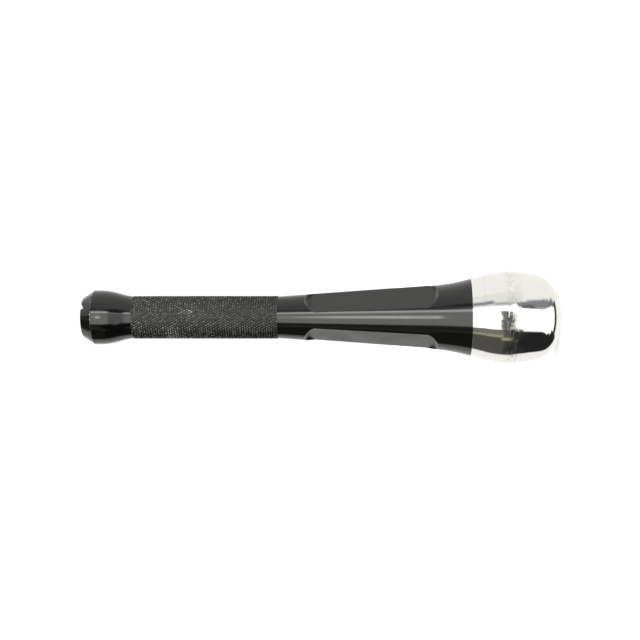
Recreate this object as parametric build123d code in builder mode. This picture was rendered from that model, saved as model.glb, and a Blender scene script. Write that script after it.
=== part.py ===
"""A bat-shaped dead blow mallet, modelled as the pieces it would come apart into on a bench.

The mallet stands on its striking face: Z is the long axis, z = 0 is the face and the butt is at the top.
From the face upwards it is a polished steel head (shell and collar, with loose steel shot inside),
a black aluminium handle (flare, tapered body with three milled flats, knurled grip, pommel)
and a slotted cap that screws into the pommel. Millimetres throughout.
"""

from build123d import *
import os
from math import cos, hypot, radians, sin, sqrt, tan

os.makedirs("parts", exist_ok=True)

# Overall lengths along Z
TOTAL_LENGTH = 279.4
HEAD_LENGTH = 50.8
COLLAR_LENGTH = 7.2
CAP_LENGTH = 7.1
HEAD_SEAM_Z = HEAD_LENGTH - COLLAR_LENGTH
CAP_SEAT_Z = TOTAL_LENGTH - CAP_LENGTH

# Outer shape of the head
FACE_RADIUS = 9.525
CORNER_RADIUS = 15.875
BARREL_ARC = 60.325
BARREL_RADIUS = 27.05
BARREL_Z = 28.0
JOINT_RADIUS = 22.8

# Outer shape of the handle
TAPER = 4.0
FLARE_TOP_Z = 74.0
NECK_RADIUS = 12.4
NECK_Z = 163.4
GRIP_RADIUS = 12.7
GRIP_LEAD = 0.6
GRIP_START_Z = NECK_Z + GRIP_LEAD
GRIP_END_Z = 248.8
POMMEL_NECK_RADIUS = 12.5
POMMEL_MIDDLE = (14.2, 257.8)
POMMEL_RADIUS = 16.1
POMMEL_TOP_Z = 270.0

# Three milled flats, parallel to the taper
FLAT_COUNT = 3
FLAT_DEPTH = 3.3
FLAT_LOW_Z = 69.8
FLAT_HIGH_Z = 147.5
FLAT_LOW_HALF_WIDTH = 11.1
FLAT_HIGH_HALF_WIDTH = 9.3
FLAT_CUTTER_RADIUS = 8.9
FLAT_FIRST_ANGLE = 90.0

# Butt cap, its seal and the bore that it closes
CAP_END_RADIUS = 11.7
CAP_RIM = 0.8
CAP_LAND = 0.2
SLOT_WIDTH = 4.0
SLOT_DEPTH = 2.0
SLOT_ANGLE = -49.0
SHANK_RADIUS = 9.0
SHANK_LENGTH = 12.0
SHANK_NECK = 1.8
THREAD_PITCH = 1.5
THREAD_DEPTH = 0.8
THREAD_CLEARANCE = 0.12
SEAL_SECTION = 1.4
SEAL_INNER_RADIUS = SHANK_RADIUS + 0.2
SEAL_OUTER_RADIUS = 10.9
SEAL_SEAT_RADIUS = 11.1
LIGHTENING_RADIUS = 7.0
LIGHTENING_END_Z = 150.0
CAP_BORE_DEPTH = SHANK_LENGTH + 1.0

# Shot chamber
SHELL_BORE_RADIUS = 20.45
CHAMBER_FLOOR_Z = 8.0
CHAMBER_CORNER = 2.0
PLUG_RADIUS = 20.4
PLUG_END_Z = 34.8
CHAMBER_SEAL_Z = 37.2
CHAMBER_SEAL_HEIGHT = 2.4
CHAMBER_SEAL_DEPTH = 1.5
PAD_THICKNESS = 2.5
PAD_RADIUS = 20.2
BALL_DIAMETER = 6.35
BALL_PITCH = 6.42
BALL_WALL_GAP = 0.12

# Joint between collar and handle
BOSS_RADIUS = 12.0
BOSS_HEIGHT = 2.8
RECESS_CLEARANCE = 0.1
BOLT_RADIUS = 5.0
BOLT_HOLE_RADIUS = 5.5
BOLT_HEAD_RADIUS = 8.0
BOLT_HEAD_HEIGHT = 10.0
BOLT_SOCKET_FLATS = 8.0
BOLT_SOCKET_DEPTH = 5.0
BOLT_LENGTH = 30.0
BOLT_HEAD_Z = 35.4
WASHER_THICKNESS = 2.5
WASHER_RADIUS = 8.0
WASHER_SPLIT = 1.2
COUNTERBORE_RADIUS = 8.7
COUNTERBORE_Z = BOLT_HEAD_Z + BOLT_HEAD_HEIGHT + WASHER_THICKNESS
INSERT_RADIUS = 7.0
INSERT_LENGTH = 20.0
INSERT_COLLAR = 0.5
TAPPED_DEPTH = 24.0
DOWEL_RADIUS = 2.0
DOWEL_CIRCLE = 17.0
DOWEL_HALF_LENGTH = 5.0
DRILL_POINT = 59.0
FIT_GAP = 0.05

EDGE = 0.3


def cone_radius(z):
    """Radius of the straight taper at height z."""
    return NECK_RADIUS + (NECK_Z - z) * tan(radians(TAPER))


def save(part, name):
    """Labels a finished piece and writes it as parts/NAME.step."""
    part.label = name
    export_step(part, f"parts/{name}.step")


def drill_tip(radius):
    """Height of the cone that a drill of that radius leaves at the end of its hole."""
    return radius / tan(radians(DRILL_POINT))


# Handle: one turned bar with a knurled grip, a taper with three flats, and bores from both ends.
tapped_z = HEAD_LENGTH + BOSS_HEIGHT + RECESS_CLEARANCE
insert_end_z = tapped_z + INSERT_LENGTH
tapped_end_z = tapped_z + TAPPED_DEPTH
taper_end = (cone_radius(FLARE_TOP_Z), FLARE_TOP_Z)

with BuildPart() as handle:
    with BuildSketch(Plane.XZ):
        with BuildLine():
            Polyline(
                (0, tapped_end_z + drill_tip(BOLT_RADIUS)),
                (BOLT_RADIUS + FIT_GAP, tapped_end_z),
                (BOLT_RADIUS + FIT_GAP, insert_end_z),
                (INSERT_RADIUS + FIT_GAP, insert_end_z),
                (INSERT_RADIUS + FIT_GAP, tapped_z),
                (BOSS_RADIUS + RECESS_CLEARANCE, tapped_z),
                (BOSS_RADIUS + RECESS_CLEARANCE, HEAD_LENGTH),
                (JOINT_RADIUS, HEAD_LENGTH),
            )
            down_the_taper = (sin(radians(TAPER)), -cos(radians(TAPER)))
            TangentArc(taper_end, (JOINT_RADIUS, HEAD_LENGTH), tangent=down_the_taper)
            Polyline(
                taper_end,
                (NECK_RADIUS, NECK_Z),
                (GRIP_RADIUS, GRIP_START_Z),
                (GRIP_RADIUS, GRIP_END_Z),
                (POMMEL_NECK_RADIUS, GRIP_END_Z + GRIP_LEAD),
            )
            swell = TangentArc((POMMEL_RADIUS, POMMEL_TOP_Z), POMMEL_MIDDLE, tangent=(0, -1))
            TangentArc(POMMEL_MIDDLE, (POMMEL_NECK_RADIUS, GRIP_END_Z + GRIP_LEAD), tangent=swell % 1)
            Polyline(
                (POMMEL_RADIUS, POMMEL_TOP_Z),
                (POMMEL_RADIUS, CAP_SEAT_Z),
                (SEAL_SEAT_RADIUS, CAP_SEAT_Z),
                (SEAL_SEAT_RADIUS, CAP_SEAT_Z - SEAL_SECTION),
                (SHANK_RADIUS + THREAD_CLEARANCE, CAP_SEAT_Z - SEAL_SECTION),
                (SHANK_RADIUS + THREAD_CLEARANCE, CAP_SEAT_Z - CAP_BORE_DEPTH),
                (LIGHTENING_RADIUS, CAP_SEAT_Z - CAP_BORE_DEPTH),
                (LIGHTENING_RADIUS, LIGHTENING_END_Z),
                (0, LIGHTENING_END_Z - drill_tip(LIGHTENING_RADIUS)),
                (0, tapped_end_z + drill_tip(BOLT_RADIUS)),
            )
        make_face()
    revolve(axis=Axis.Z)

    # Each flat is a shallow pocket with a floor parallel to the taper and ends of the cutter's radius.
    flat_middle_z = (FLAT_LOW_Z + FLAT_HIGH_Z) / 2
    flat_half_length = (FLAT_HIGH_Z - FLAT_LOW_Z) / 2 / cos(radians(TAPER))
    floor_distance = cone_radius(flat_middle_z) - FLAT_DEPTH / cos(radians(TAPER))
    for index in range(FLAT_COUNT):
        turn = radians(FLAT_FIRST_ANGLE + index * 360 / FLAT_COUNT)
        out = Vector(cos(turn), sin(turn), 0)
        floor = Plane(
            origin=out * floor_distance + Vector(0, 0, flat_middle_z),
            x_dir=(-sin(turn), cos(turn), 0),
            z_dir=out * cos(radians(TAPER)) + Vector(0, 0, sin(radians(TAPER))),
        )
        with BuildSketch(floor) as pocket:
            with BuildLine():
                Polyline(
                    (-FLAT_LOW_HALF_WIDTH, -flat_half_length),
                    (FLAT_LOW_HALF_WIDTH, -flat_half_length),
                    (FLAT_HIGH_HALF_WIDTH, flat_half_length),
                    (-FLAT_HIGH_HALF_WIDTH, flat_half_length),
                    close=True,
                )
            make_face()
            fillet(pocket.vertices(), FLAT_CUTTER_RADIUS)
        extrude(amount=3 * FLAT_DEPTH, mode=Mode.SUBTRACT)

    with BuildSketch(Plane.XY.offset(HEAD_LENGTH)):
        with PolarLocations(DOWEL_CIRCLE, 2):
            Circle(DOWEL_RADIUS + FIT_GAP)
    extrude(amount=DOWEL_HALF_LENGTH + RECESS_CLEARANCE, mode=Mode.SUBTRACT)

save(handle.part, "handle")


# Butt cap: chamfered head with a coin slot, on a shank whose ring grooves stand in for the thread's helix.
thread_top_z = CAP_SEAT_Z - SHANK_NECK
thread_end_z = CAP_SEAT_Z - SHANK_LENGTH
turns = int((thread_top_z - thread_end_z - EDGE) / THREAD_PITCH)

with BuildPart() as butt_cap:
    with BuildSketch(Plane.XZ) as cap_profile:
        with BuildLine():
            Polyline(
                (0, thread_end_z),
                (SHANK_RADIUS - THREAD_DEPTH, thread_end_z),
                (SHANK_RADIUS, thread_end_z + THREAD_DEPTH),
                (SHANK_RADIUS, thread_top_z),
                (SHANK_RADIUS - THREAD_DEPTH, thread_top_z),
                (SHANK_RADIUS - THREAD_DEPTH, CAP_SEAT_Z),
                (POMMEL_RADIUS, CAP_SEAT_Z),
                (POMMEL_RADIUS, CAP_SEAT_Z + CAP_LAND),
                (CAP_END_RADIUS, TOTAL_LENGTH),
                (0, TOTAL_LENGTH),
                close=True,
            )
        make_face()
        rim = cap_profile.vertices().sort_by_distance((CAP_END_RADIUS, 0, TOTAL_LENGTH))[0]
        fillet(rim, CAP_RIM)
    revolve(axis=Axis.Z)
    with BuildSketch(Plane.XZ):
        for index in range(turns):
            groove_z = thread_top_z - EDGE - (index + 0.5) * THREAD_PITCH
            with BuildLine():
                Polyline(
                    (SHANK_RADIUS - THREAD_DEPTH, groove_z),
                    (SHANK_RADIUS + EDGE, groove_z - THREAD_PITCH / 2),
                    (SHANK_RADIUS + EDGE, groove_z + THREAD_PITCH / 2),
                    close=True,
                )
            make_face()
    revolve(axis=Axis.Z, mode=Mode.SUBTRACT)
    with BuildSketch(Plane.XY.offset(TOTAL_LENGTH)):
        Rectangle(4 * POMMEL_RADIUS, SLOT_WIDTH, rotation=SLOT_ANGLE)
    extrude(amount=-SLOT_DEPTH, mode=Mode.SUBTRACT)

save(butt_cap.part, "butt_cap")


# Seal ring under the cap, drawn squeezed in its seat.
with BuildPart() as cap_o_ring:
    with BuildSketch(Plane.XZ) as ring_section:
        with Locations(((SEAL_INNER_RADIUS + SEAL_OUTER_RADIUS) / 2, CAP_SEAT_Z - SEAL_SECTION / 2)):
            Rectangle(SEAL_OUTER_RADIUS - SEAL_INNER_RADIUS, SEAL_SECTION - 2 * FIT_GAP)
        fillet(ring_section.vertices(), SEAL_SECTION / 3)
    revolve(axis=Axis.Z)

save(cap_o_ring.part, "cap_o_ring")


# Head collar: polished flange that carries on the handle's flare, with a plug that the shell screws over.
seam_radius = BARREL_RADIUS - BARREL_ARC + sqrt(BARREL_ARC**2 - (HEAD_SEAM_Z - BARREL_Z) ** 2)
boss_z = HEAD_LENGTH + BOSS_HEIGHT

with BuildPart() as head_collar:
    with BuildSketch(Plane.XZ):
        with BuildLine():
            Polyline(
                (BOLT_HOLE_RADIUS, boss_z),
                (BOSS_RADIUS, boss_z),
                (BOSS_RADIUS, HEAD_LENGTH),
                (JOINT_RADIUS, HEAD_LENGTH),
                (seam_radius, HEAD_SEAM_Z),
                (PLUG_RADIUS, HEAD_SEAM_Z),
                (PLUG_RADIUS, CHAMBER_SEAL_Z + CHAMBER_SEAL_HEIGHT / 2),
                (PLUG_RADIUS - CHAMBER_SEAL_DEPTH, CHAMBER_SEAL_Z + CHAMBER_SEAL_HEIGHT / 2),
                (PLUG_RADIUS - CHAMBER_SEAL_DEPTH, CHAMBER_SEAL_Z - CHAMBER_SEAL_HEIGHT / 2),
                (PLUG_RADIUS, CHAMBER_SEAL_Z - CHAMBER_SEAL_HEIGHT / 2),
                (PLUG_RADIUS, PLUG_END_Z + EDGE),
                (PLUG_RADIUS - EDGE, PLUG_END_Z),
                (COUNTERBORE_RADIUS, PLUG_END_Z),
                (COUNTERBORE_RADIUS, COUNTERBORE_Z),
                (BOLT_HOLE_RADIUS, COUNTERBORE_Z),
                close=True,
            )
        make_face()
    revolve(axis=Axis.Z)
    with BuildSketch(Plane.XY.offset(HEAD_LENGTH)):
        with PolarLocations(DOWEL_CIRCLE, 2):
            Circle(DOWEL_RADIUS + FIT_GAP)
    extrude(amount=-DOWEL_HALF_LENGTH - RECESS_CLEARANCE, mode=Mode.SUBTRACT)

save(head_collar.part, "head_collar")


# Head shell: a cup. Outside it is a flat face, a corner arc and one long barrel arc that meets the collar.
barrel_centre = (BARREL_RADIUS - BARREL_ARC, BARREL_Z)
corner_centre = (FACE_RADIUS, CORNER_RADIUS)
centre_step = (corner_centre[0] - barrel_centre[0], corner_centre[1] - barrel_centre[1])
centre_distance = hypot(*centre_step)
corner_end = (
    corner_centre[0] + CORNER_RADIUS * centre_step[0] / centre_distance,
    corner_centre[1] + CORNER_RADIUS * centre_step[1] / centre_distance,
)

with BuildPart() as head_shell:
    with BuildSketch(Plane.XZ) as shell_profile:
        with BuildLine():
            Line((0, 0), (FACE_RADIUS, 0))
            TangentArc((FACE_RADIUS, 0), corner_end, tangent=(1, 0))
            ThreePointArc(corner_end, (BARREL_RADIUS, BARREL_Z), (seam_radius, HEAD_SEAM_Z))
            Polyline(
                (seam_radius, HEAD_SEAM_Z),
                (SHELL_BORE_RADIUS, HEAD_SEAM_Z),
                (SHELL_BORE_RADIUS, CHAMBER_FLOOR_Z),
                (0, CHAMBER_FLOOR_Z),
                (0, 0),
            )
        make_face()
        floor_corner = shell_profile.vertices().sort_by_distance((SHELL_BORE_RADIUS, 0, CHAMBER_FLOOR_Z))[0]
        fillet(floor_corner, CHAMBER_CORNER)
    revolve(axis=Axis.Z)

save(head_shell.part, "head_shell")


# Seal ring in the plug's groove.
with BuildPart() as chamber_o_ring:
    with BuildSketch(Plane.XZ) as groove_section:
        with Locations((PLUG_RADIUS - CHAMBER_SEAL_DEPTH / 2, CHAMBER_SEAL_Z)):
            Rectangle(CHAMBER_SEAL_DEPTH - FIT_GAP, CHAMBER_SEAL_HEIGHT - 4 * FIT_GAP)
        fillet(groove_section.vertices(), CHAMBER_SEAL_DEPTH / 3)
    revolve(axis=Axis.Z)

save(chamber_o_ring.part, "chamber_o_ring")


# Socket head screw that pulls the collar onto the handle.
screw_seat_z = BOLT_HEAD_Z + BOLT_HEAD_HEIGHT

with BuildPart() as collar_bolt:
    with BuildSketch(Plane.XY.offset(BOLT_HEAD_Z)):
        Circle(BOLT_HEAD_RADIUS)
    extrude(amount=BOLT_HEAD_HEIGHT)
    chamfer(collar_bolt.edges().group_by(Axis.Z)[0], 2 * EDGE)
    with BuildSketch(Plane.XY.offset(screw_seat_z)):
        Circle(BOLT_RADIUS)
    extrude(amount=BOLT_LENGTH)
    chamfer(collar_bolt.edges().group_by(Axis.Z)[-1], 3 * EDGE)
    with BuildSketch(Plane.XY.offset(BOLT_HEAD_Z)):
        RegularPolygon(BOLT_SOCKET_FLATS / 2, 6, major_radius=False)
    extrude(amount=BOLT_SOCKET_DEPTH, mode=Mode.SUBTRACT)

save(collar_bolt.part, "collar_bolt")


# Split spring washer under the screw's head.
with BuildPart() as lock_washer:
    with BuildSketch(Plane.XY.offset(screw_seat_z)):
        Circle(WASHER_RADIUS)
        Circle(BOLT_RADIUS + 4 * FIT_GAP, mode=Mode.SUBTRACT)
        with Locations((WASHER_RADIUS, 0)):
            Rectangle(2 * WASHER_RADIUS, WASHER_SPLIT, mode=Mode.SUBTRACT)
    extrude(amount=WASHER_THICKNESS)

save(lock_washer.part, "lock_washer")


# Steel thread insert that gives the aluminium handle a lasting thread for the screw.
with BuildPart() as thread_insert:
    with BuildSketch(Plane.XY.offset(tapped_z + INSERT_COLLAR)):
        Circle(INSERT_RADIUS)
        Circle(BOLT_RADIUS + FIT_GAP, mode=Mode.SUBTRACT)
    extrude(amount=INSERT_LENGTH - 2 * INSERT_COLLAR)
    chamfer(thread_insert.edges().filter_by(GeomType.CIRCLE).sort_by(SortBy.RADIUS)[-2:], EDGE)

save(thread_insert.part, "thread_insert")


# Two dowels that stop the collar turning on the handle.
with BuildPart() as dowel_pins:
    with BuildSketch(Plane.XY.offset(HEAD_LENGTH - DOWEL_HALF_LENGTH)):
        with PolarLocations(DOWEL_CIRCLE, 2):
            Circle(DOWEL_RADIUS)
    extrude(amount=2 * DOWEL_HALF_LENGTH)
    chamfer(dowel_pins.edges().filter_by(GeomType.CIRCLE), EDGE)

save(dowel_pins.part, "dowel_pins")


# Urethane discs that face the shot: one on the chamber floor, one over the screw.
def urethane_pad(low_z, bevel_low):
    """A disc that fills the bore, bevelled where it meets the chamber's rounded corner."""
    with BuildPart() as pad:
        with BuildSketch(Plane.XY.offset(low_z)):
            Circle(PAD_RADIUS)
        extrude(amount=PAD_THICKNESS)
        if bevel_low:
            chamfer(pad.edges().group_by(Axis.Z)[0], CHAMBER_CORNER)
        else:
            chamfer(pad.edges(), EDGE)
    return pad.part


front_pad = urethane_pad(CHAMBER_FLOOR_Z, True)
save(front_pad, "front_pad")

rear_pad = urethane_pad(PLUG_END_Z - PAD_THICKNESS, False)
save(rear_pad, "rear_pad")


# Steel shot: three close-packed layers of balls lying on the front pad.
def layer_places(offset_x, offset_y):
    """Centres of the balls in one hexagonal layer that fit inside the bore."""
    reach = SHELL_BORE_RADIUS - BALL_DIAMETER / 2 - BALL_WALL_GAP
    places = []
    for row in range(-4, 5):
        for column in range(-6, 7):
            x = (column + row / 2) * BALL_PITCH + offset_x
            y = row * BALL_PITCH * sqrt(3) / 2 + offset_y
            if hypot(x, y) <= reach:
                places.append((x, y))
    return places


layer_rise = BALL_PITCH * sqrt(2 / 3)
first_layer_z = CHAMBER_FLOOR_Z + PAD_THICKNESS + BALL_DIAMETER / 2 + FIT_GAP
hollow = (BALL_PITCH / 2, BALL_PITCH / (2 * sqrt(3)))
ball_places = []
for layer, shift in enumerate(((0, 0), hollow, (0, 0))):
    for x, y in layer_places(*shift):
        ball_places.append((x, y, first_layer_z + layer * layer_rise))

with BuildPart() as steel_shot:
    with Locations(*ball_places):
        Sphere(BALL_DIAMETER / 2)

save(steel_shot.part, "steel_shot")

free_travel = PLUG_END_Z - PAD_THICKNESS - (first_layer_z + 2 * layer_rise + BALL_DIAMETER / 2)
print(f"{len(ball_places)} balls with {free_travel:.2f} mm of free travel along the chamber")
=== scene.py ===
"""The looks of a bat-shaped dead blow mallet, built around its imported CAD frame.

The four pieces that show (head shell, collar, handle, butt cap) are finely meshed turned shapes with
broken edges, real milled flats, a real diamond knurl and a real thread. The inner pieces are the CAD nodes.
Meshes are drawn in millimetres and turned into metres when they are made.
"""

import random
from math import asin, atan2, cos, exp, hypot, pi, radians, sin, sqrt, tan

import bpy
from mathutils import Matrix, Vector


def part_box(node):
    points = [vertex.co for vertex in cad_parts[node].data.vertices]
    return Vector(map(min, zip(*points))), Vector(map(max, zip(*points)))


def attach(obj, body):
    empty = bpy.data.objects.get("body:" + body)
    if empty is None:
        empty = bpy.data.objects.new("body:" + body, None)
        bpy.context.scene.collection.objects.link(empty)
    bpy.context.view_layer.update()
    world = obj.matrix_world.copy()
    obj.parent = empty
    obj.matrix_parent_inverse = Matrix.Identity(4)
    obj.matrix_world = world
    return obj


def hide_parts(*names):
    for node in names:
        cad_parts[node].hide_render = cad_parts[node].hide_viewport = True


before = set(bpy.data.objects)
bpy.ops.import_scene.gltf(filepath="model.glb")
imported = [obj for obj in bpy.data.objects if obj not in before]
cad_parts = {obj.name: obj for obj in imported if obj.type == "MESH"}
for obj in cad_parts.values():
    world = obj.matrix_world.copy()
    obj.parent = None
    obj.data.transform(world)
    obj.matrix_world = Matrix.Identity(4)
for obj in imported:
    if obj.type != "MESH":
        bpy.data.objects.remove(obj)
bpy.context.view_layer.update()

MM = 0.001
random.seed(7)


def low(node):
    """A CAD node's lowest corner in millimetres."""
    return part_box(node)[0] / MM


def high(node):
    """A CAD node's highest corner in millimetres."""
    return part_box(node)[1] / MM


# Places along the axis and outer sizes, from the frame.
SEAM_Z = high("head_shell").z
JOINT_Z = low("handle").z
CAP_SEAT_Z = high("handle").z
END_Z = high("butt_cap").z
BARREL_RADIUS = high("head_shell").x
SEAM_RADIUS = high("head_collar").x
JOINT_RADIUS = high("handle").x
POMMEL_RADIUS = high("butt_cap").x
PLUG_END_Z = low("head_collar").z
BOSS_Z = high("head_collar").z
CHAMBER_FLOOR_Z = low("front_pad").z
INSERT_TOP_Z = high("thread_insert").z
INSERT_RADIUS = high("thread_insert").x
SEAL_Z = low("cap_o_ring").z
SEAL_RADIUS = high("cap_o_ring").x
SHANK_END_Z = low("butt_cap").z

# Head shape.
FACE_RADIUS = 9.525
CORNER_RADIUS = 15.875
BARREL_ARC = 60.325
BARREL_Z = 28.0
SHELL_BORE_RADIUS = 20.45
CHAMBER_CORNER = 2.0
PLUG_RADIUS = 20.4
SEAL_GROOVE_Z = (36.0, 38.4)
SEAL_GROOVE_RADIUS = 18.9
BOLT_HOLE_RADIUS = 5.5
COUNTERBORE_RADIUS = 8.7
COUNTERBORE_Z = 47.9
BOSS_RADIUS = 12.0

# Handle shape.
TAPER = radians(4.0)
FLARE_TOP_Z = 74.0
NECK_RADIUS = 12.4
NECK_Z = 163.4
GRIP_START_Z = 164.0
GRIP_END_Z = 248.8
POMMEL_NECK_RADIUS = 12.5
POMMEL_NECK_Z = 249.4
POMMEL_MIDDLE = (14.2, 257.8)
POMMEL_TOP_Z = 270.0
BOLT_RADIUS = 5.05
TAPPED_END_Z = 77.7
BORE_RADIUS = 7.0
BORE_END_Z = 150.0
DRILL_SLOPE = tan(radians(31.0))
SHANK_BORE_RADIUS = 9.12
SHANK_BORE_Z = 259.3
SEAL_SEAT_RADIUS = 11.1

# Milled flats.
FLAT_COUNT = 3
FLAT_DEPTH = 3.3
FLAT_LOW_Z = 69.8
FLAT_HIGH_Z = 147.5
FLAT_LOW_HALF_WIDTH = 11.1
FLAT_HIGH_HALF_WIDTH = 9.3
CUTTER_RADIUS = 8.9
FLAT_FIRST_ANGLE = radians(90.0)
FLAT_BLOCK_Z = (66.0, 151.5)
WALL_RUN = 0.5

# Knurl: the lattice has half a groove pitch to a step.
KNURL_GROOVES = 48
KNURL_ROWS = 60
KNURL_ROOT_RADIUS = 12.0
KNURL_TIP_RADIUS = 12.7
KNURL_SHOULDER = 0.80
KNURL_TIP = 0.27
RUB_COUNT = 14

# Butt cap.
CAP_END_RADIUS = 11.7
CAP_RIM = 0.8
CAP_LAND = 0.2
SLOT_HALF_WIDTH = 2.0
SLOT_DEPTH = 2.0
SLOT_ANGLE = radians(-49.0)
SHANK_RADIUS = 9.0
SHANK_NECK = 1.8
THREAD_PITCH = 1.5
THREAD_DEPTH = 0.8

# Mesh fineness.
COLUMNS = 192
BEVEL = 0.16
HAIRLINE = 0.05
TURN = 2 * pi


class Shell:
    """A mesh under construction. Points on the same place are one vertex, and each has its true normal."""

    def __init__(self):
        self.points = []
        self.normals = []
        self.wear = []
        self.faces = []
        self.kinds = []
        self.facets = []
        self.places = {}

    def add(self, point, normal=(0, 0, 0), wear=0.0):
        key = tuple(round(c, 4) for c in point)
        if key not in self.places:
            self.places[key] = len(self.points)
            self.points.append(point)
            self.normals.append(normal)
            self.wear.append(wear)
        return self.places[key]

    def around(self, angle, radius, z, normal, wear=0.0):
        """Adds a point by angle, radius and height. Its normal is given as radial and axial parts."""
        c, s = cos(angle), sin(angle)
        return self.add((radius * c, radius * s, z), (normal[0] * c, normal[0] * s, normal[1]), wear)

    def face(self, corners, kind=0, facet=False):
        corners = list(dict.fromkeys(corners))
        if len(corners) > 2:
            self.faces.append(corners)
            self.kinds.append(kind)
            self.facets.append(facet)

    def bridge(self, lower, upper, kind=0, closed=True):
        """Faces between two rows of vertices that run the same way round."""
        count = len(lower) if closed else len(lower) - 1
        for k in range(count):
            n = (k + 1) % len(lower)
            self.face((lower[k], lower[n], upper[n], upper[k]), kind)

    def ring(self, station, angles=None):
        radius, z, nr, nz, wear = station
        angles = angles or [TURN * k / COLUMNS for k in range(COLUMNS)]
        if radius == 0:
            return [self.add((0, 0, z), (0, 0, nz), wear)] * len(angles)
        return [self.around(a, radius, z, (nr, nz), wear) for a in angles]

    def lathe(self, stations, kind=0, angles=None):
        """Turns a profile, whose material lies on its left, into rings and faces. Returns the last ring."""
        last = self.ring(stations[0], angles)
        for station in stations[1:]:
            ring = self.ring(station, angles)
            self.bridge(last, ring, kind)
            last = ring
        return last

    def build(self, name, materials):
        mesh = bpy.data.meshes.new(name)
        mesh.from_pydata([[c * MM for c in p] for p in self.points], [], self.faces)
        for polygon, kind, facet in zip(mesh.polygons, self.kinds, self.facets):
            polygon.material_index = kind
            polygon.use_smooth = not facet
        wear = mesh.attributes.new("wear", "FLOAT", "POINT")
        wear.data.foreach_set("value", self.wear)
        for material in materials:
            mesh.materials.append(material)
        mesh.normals_split_custom_set_from_vertices(self.normals)
        piece = bpy.data.objects.new(name, mesh)
        bpy.context.scene.collection.objects.link(piece)
        return piece


def line(start, end, trim=(BEVEL, BEVEL), steps=1, wear=(0, 0)):
    """Stations along a straight run of a profile, cut short at each end to leave room for a broken edge."""
    run, rise = end[0] - start[0], end[1] - start[1]
    length = hypot(run, rise)
    normal = (rise / length, -run / length)
    first, last = trim[0] / length, 1 - trim[1] / length
    stations = []
    for k in range(steps + 1):
        t = first + (last - first) * k / steps
        mark = wear[0] if k == 0 else wear[1] if k == steps else 0
        stations.append((start[0] + run * t, start[1] + rise * t, *normal, mark))
    return stations


def arc(centre, radius, first, last, steps, hollow=False):
    """Stations round an arc of a profile. Angles run from the radial direction towards +Z."""
    side = -1 if hollow else 1
    stations = []
    for k in range(steps + 1):
        a = first + (last - first) * k / steps
        point = (centre[0] + radius * cos(a), centre[1] + radius * sin(a))
        stations.append((*point, side * cos(a), side * sin(a), 0))
    return stations


def arc_between(start, end, tangent, steps):
    """Stations of the arc that leaves start along a tangent direction and reaches end."""
    t = Vector(tangent).normalized()
    chord = Vector(end) - Vector(start)
    side = Vector((-t.y, t.x))
    reach = chord.length_squared / (2 * chord.dot(side))
    centre = Vector(start) + side * reach
    a = atan2(start[1] - centre.y, start[0] - centre.x)
    b = atan2(end[1] - centre.y, end[0] - centre.x)
    turn = (b - a + pi) % TURN - pi
    return arc(centre, abs(reach), a, a + turn, steps, hollow=centre.x > start[0])


# ---------------------------------------------------------------- head


def head_shell():
    """Polished cup: flat face, corner arc, long barrel arc, then the shot chamber inside."""
    shell = Shell()
    barrel = (BARREL_RADIUS - BARREL_ARC, BARREL_Z)
    corner = (FACE_RADIUS, CORNER_RADIUS)
    meet = atan2(corner[1] - barrel[1], corner[0] - barrel[0])
    seam = asin((SEAM_Z - BARREL_Z) / BARREL_ARC)
    edge = HAIRLINE / BARREL_ARC
    shell.lathe(
        [(0, 0, 0, -1, 0)]
        + line((0.5, 0), (FACE_RADIUS, 0), (0, 0), 4)
        + arc(corner, CORNER_RADIUS, -pi / 2, meet, 28)[1:]
        + arc(barrel, BARREL_ARC, meet, seam - edge, 56)[1:]
        + line((SEAM_RADIUS, SEAM_Z), (SHELL_BORE_RADIUS, SEAM_Z), (HAIRLINE, BEVEL))
        + line(
            (SHELL_BORE_RADIUS, SEAM_Z),
            (SHELL_BORE_RADIUS, CHAMBER_FLOOR_Z + CHAMBER_CORNER),
            (BEVEL, 0),
            4,
        )
        + arc(
            (SHELL_BORE_RADIUS - CHAMBER_CORNER, CHAMBER_FLOOR_Z + CHAMBER_CORNER),
            CHAMBER_CORNER,
            0,
            -pi / 2,
            8,
            hollow=True,
        )[1:]
        + [(0, CHAMBER_FLOOR_Z, 0, 1, 0)]
    )
    return shell


def head_collar():
    """Polished ring behind the head, with its plug, counterbore and boss."""
    shell = Shell()
    outline = [
        (PLUG_RADIUS, SEAM_Z),
        (SEAM_RADIUS, SEAM_Z),
        (JOINT_RADIUS, JOINT_Z),
        (BOSS_RADIUS, JOINT_Z),
        (BOSS_RADIUS, BOSS_Z),
        (BOLT_HOLE_RADIUS, BOSS_Z),
        (BOLT_HOLE_RADIUS, COUNTERBORE_Z),
        (COUNTERBORE_RADIUS, COUNTERBORE_Z),
        (COUNTERBORE_RADIUS, PLUG_END_Z),
        (PLUG_RADIUS, PLUG_END_Z),
        (PLUG_RADIUS, SEAL_GROOVE_Z[0]),
        (SEAL_GROOVE_RADIUS, SEAL_GROOVE_Z[0]),
        (SEAL_GROOVE_RADIUS, SEAL_GROOVE_Z[1]),
        (PLUG_RADIUS, SEAL_GROOVE_Z[1]),
    ]
    stations = []
    for k, corner in enumerate(outline):
        following = outline[(k + 1) % len(outline)]
        trim = [HAIRLINE if point[0] == SEAM_RADIUS else BEVEL for point in (corner, following)]
        stations += line(corner, following, trim, steps=8 if k == 1 else 1)
    last = shell.lathe(stations)
    shell.bridge(last, shell.ring(stations[0]))
    return shell


# ---------------------------------------------------------------- handle


def cone_radius(z):
    return NECK_RADIUS + (NECK_Z - z) * tan(TAPER)


def flare_stations(steps):
    """The flare's arc, from the joint up to where it meets the straight taper."""
    top = (cone_radius(FLARE_TOP_Z), FLARE_TOP_Z)
    return arc_between(top, (JOINT_RADIUS, JOINT_Z), (sin(TAPER), -cos(TAPER)), steps)[::-1]


FLARE = flare_stations(40)


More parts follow.
